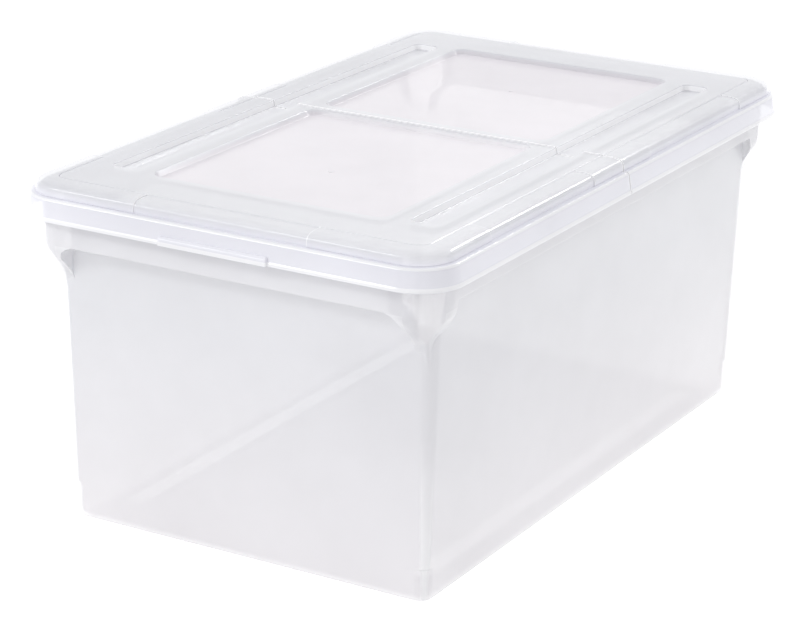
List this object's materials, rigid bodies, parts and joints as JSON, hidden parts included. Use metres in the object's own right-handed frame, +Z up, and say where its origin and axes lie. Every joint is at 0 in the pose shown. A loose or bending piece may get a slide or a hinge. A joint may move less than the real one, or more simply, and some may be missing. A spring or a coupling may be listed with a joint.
{
  "type": "portable file box",
  "caption": "Clear plastic file box: tapered tub with hanging-folder rails and hand-hold collar, and a folding lid hinged across the middle that lifts off.",
  "frame": {"origin": "centre of the footprint at the ground, under the stacking runners", "axes": "+Z up, +Y along the length towards the rear hand-hold end, +X across the width"},
  "size_m": [0.351, 0.5818, 0.2655],
  "materials": {
    "tub_plastic": "clear translucent moulded polypropylene",
    "lid_plastic": "clear translucent moulded polypropylene, slightly milkier",
    "web_plastic": "stress-whitened polypropylene hinge web"
  },
  "bodies": {
    "tub": {"tub": "tub_plastic"},
    "lid_spine": {"hinge_web": "web_plastic"},
    "front_flap": {"lid_front": "lid_plastic"},
    "rear_flap": {"lid_rear": "lid_plastic"}
  },
  "joints": [
    {"name": "lid_lift", "type": "slide", "parent": "tub", "child": "lid_spine", "axis": [0, 0, 1], "range_m": [0, 0.12]},
    {"name": "front_flap_hinge", "type": "hinge", "parent": "lid_spine", "child": "front_flap", "pos_m": [0, -0.0035, 0.26485], "axis": [-1, 0, 0], "range_deg": [0, 180]},
    {"name": "rear_flap_hinge", "type": "hinge", "parent": "lid_spine", "child": "rear_flap", "pos_m": [0, -0.0035, 0.26485], "axis": [1, 0, 0], "range_deg": [0, 180]}
  ]
}
